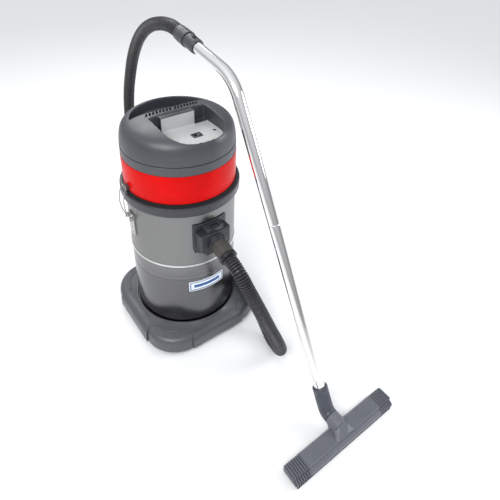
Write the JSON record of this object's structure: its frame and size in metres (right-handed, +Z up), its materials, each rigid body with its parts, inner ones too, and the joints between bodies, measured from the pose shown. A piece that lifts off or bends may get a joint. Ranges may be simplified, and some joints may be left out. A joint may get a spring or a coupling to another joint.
{
  "type": "shop vacuum",
  "caption": "Wet and dry shop vacuum: steel tank on a caster plinth, lift-off motor head with red band and wire latches, hose, bent wand and wide floor tool.",
  "frame": {"origin": "middle of the footprint of the vacuum, wand and floor tool on the floor", "axes": "+Z up, the hose inlet and the floor tool towards -Y, the wand on the +X side"},
  "size_m": [0.532, 1.4252, 1.0338],
  "materials": {
    "dark_grey_plastic": "fine matt moulded",
    "black_plastic": "matt moulded",
    "red_plastic": "glossy",
    "black_rubber": "matt",
    "satin_steel": "satin rolled",
    "polished_steel": "polished",
    "spring_wire": "bright drawn",
    "cast_aluminium": "as cast",
    "copper_windings": "lacquered windings",
    "grey_foam": "open cell foam",
    "filter_cloth": "needle felt",
    "white_label": "satin film"
  },
  "bodies": {
    "base": {"plinth": "dark_grey_plastic", "tank": "satin_steel", "tank_badge": "white_label", "tank_rim": "dark_grey_plastic", "latch_bracket_left": "spring_wire", "latch_bracket_right": "spring_wire", "inlet_gasket": "black_rubber", "inlet_plate": "dark_grey_plastic", "inlet_housing": "dark_grey_plastic", "inlet_deflector": "dark_grey_plastic", "wand_upper_tube": "polished_steel", "wand_lower_tube": "polished_steel", "wand_coupling": "dark_grey_plastic", "wand_elbow": "dark_grey_plastic", "handle_sleeve": "dark_grey_plastic", "hose": "black_rubber"},
    "head": {"head_cover": "dark_grey_plastic", "head_gasket": "black_rubber", "latch_catch_left": "dark_grey_plastic", "latch_catch_right": "dark_grey_plastic", "motor_deck": "dark_grey_plastic", "red_band": "red_plastic", "noise_foam": "grey_foam", "fan_housing": "cast_aluminium", "motor_frame": "cast_aluminium", "bearing_lower": "polished_steel", "bearing_upper": "polished_steel", "switch_frame": "black_plastic", "cable_gland": "black_plastic", "float_cage": "dark_grey_plastic", "filter_ring": "black_plastic", "filter_bag": "filter_cloth"},
    "motor_rotor": {"motor_shaft": "copper_windings", "impeller_lower": "cast_aluminium", "impeller_upper": "cast_aluminium"},
    "power_switch": {"switch_rocker": "black_plastic"},
    "float_valve": {"float": "red_plastic"},
    "left_latch": {"latch_bail_left": "spring_wire"},
    "right_latch": {"latch_bail_right": "spring_wire"},
    "inlet_cuff": {"hose_cuff_inlet": "dark_grey_plastic"},
    "wand_cuff": {"hose_cuff_wand": "dark_grey_plastic"},
    "air_regulator": {"air_slide": "black_plastic"},
    "release_lever": {"inlet_lever": "dark_grey_plastic"},
    "floor_tool": {"floor_tool_body": "dark_grey_plastic", "floor_tool_end_left": "dark_grey_plastic", "floor_tool_end_right": "dark_grey_plastic", "floor_tool_front_strip": "black_rubber", "floor_tool_rear_strip": "black_rubber"},
    "caster_front_left": {"caster_yoke_front_left": "dark_grey_plastic", "caster_axle_front_left": "polished_steel"},
    "wheel_front_left": {"caster_wheel_front_left": "black_rubber"},
    "caster_front_right": {"caster_yoke_front_right": "dark_grey_plastic", "caster_axle_front_right": "polished_steel"},
    "wheel_front_right": {"caster_wheel_front_right": "black_rubber"},
    "caster_rear_left": {"caster_yoke_rear_left": "dark_grey_plastic", "caster_axle_rear_left": "polished_steel"},
    "wheel_rear_left": {"caster_wheel_rear_left": "black_rubber"},
    "caster_rear_right": {"caster_yoke_rear_right": "dark_grey_plastic", "caster_axle_rear_right": "polished_steel"},
    "wheel_rear_right": {"caster_wheel_rear_right": "black_rubber"}
  },
  "joints": [
    {"name": "head_lift", "type": "slide", "parent": "base", "child": "head", "axis": [0, 0, 1], "range_m": [0, 0.1]},
    {"name": "left_latch_swing", "type": "hinge", "parent": "base", "child": "left_latch", "pos_m": [-0.2325, 0.2735, 0.5], "axis": [0, -1, 0], "range_deg": [0, 110]},
    {"name": "right_latch_swing", "type": "hinge", "parent": "base", "child": "right_latch", "pos_m": [0.1545, 0.2735, 0.5], "axis": [0, 1, 0], "range_deg": [0, 110]},
    {"name": "power_switch_rock", "type": "hinge", "parent": "head", "child": "power_switch", "pos_m": [-0.019, 0.1935, 0.7685], "axis": [0, -1, 0], "range_deg": [0, 12]},
    {"name": "float_rise", "type": "slide", "parent": "head", "child": "float_valve", "axis": [0, 0, 1], "range_m": [0, 0.038]},
    {"name": "motor_spin", "type": "hinge", "parent": "head", "child": "motor_rotor", "pos_m": [-0.039, 0.2735, 0.68], "axis": [0, 0, 1], "continuous": true},
    {"name": "inlet_cuff_swivel", "type": "hinge", "parent": "base", "child": "inlet_cuff", "pos_m": [-0.037, 0.05031, 0.45208], "axis": [0, -0.9613, -0.2756], "continuous": true},
    {"name": "wand_cuff_swivel", "type": "hinge", "parent": "base", "child": "wand_cuff", "pos_m": [0.061, 0.35487, 0.99589], "axis": [0, 0.9848, 0.1736], "continuous": true},
    {"name": "air_regulator_slide", "type": "slide", "parent": "base", "child": "air_regulator", "axis": [0, 0.9848, 0.1736], "range_m": [0, 0.012]},
    {"name": "release_lever_press", "type": "hinge", "parent": "base", "child": "release_lever", "pos_m": [-0.039, 0.072, 0.5085], "axis": [1, 0, 0], "range_deg": [0, 12], "stiffness_Nm_per_rad": 0.02},
    {"name": "floor_tool_swivel", "type": "hinge", "parent": "base", "child": "floor_tool", "pos_m": [0.061, -0.40041, 0.052], "axis": [0, 1, 0], "range_deg": [-30, 30]},
    {"name": "caster_swivel_front_left", "type": "hinge", "parent": "base", "child": "caster_front_left", "pos_m": [-0.189, 0.1235, 0.05], "axis": [0, 0, 1], "continuous": true},
    {"name": "wheel_spin_front_left", "type": "hinge", "parent": "caster_front_left", "child": "wheel_front_left", "pos_m": [-0.189, 0.1355, 0.02], "axis": [1, 0, 0], "continuous": true},
    {"name": "caster_swivel_front_right", "type": "hinge", "parent": "base", "child": "caster_front_right", "pos_m": [0.111, 0.1235, 0.05], "axis": [0, 0, 1], "continuous": true},
    {"name": "wheel_spin_front_right", "type": "hinge", "parent": "caster_front_right", "child": "wheel_front_right", "pos_m": [0.111, 0.1355, 0.02], "axis": [1, 0, 0], "continuous": true},
    {"name": "caster_swivel_rear_left", "type": "hinge", "parent": "base", "child": "caster_rear_left", "pos_m": [-0.189, 0.4235, 0.05], "axis": [0, 0, 1], "continuous": true},
    {"name": "wheel_spin_rear_left", "type": "hinge", "parent": "caster_rear_left", "child": "wheel_rear_left", "pos_m": [-0.189, 0.4355, 0.02], "axis": [1, 0, 0], "continuous": true},
    {"name": "caster_swivel_rear_right", "type": "hinge", "parent": "base", "child": "caster_rear_right", "pos_m": [0.111, 0.4235, 0.05], "axis": [0, 0, 1], "continuous": true},
    {"name": "wheel_spin_rear_right", "type": "hinge", "parent": "caster_rear_right", "child": "wheel_rear_right", "pos_m": [0.111, 0.4355, 0.02], "axis": [1, 0, 0], "continuous": true}
  ]
}
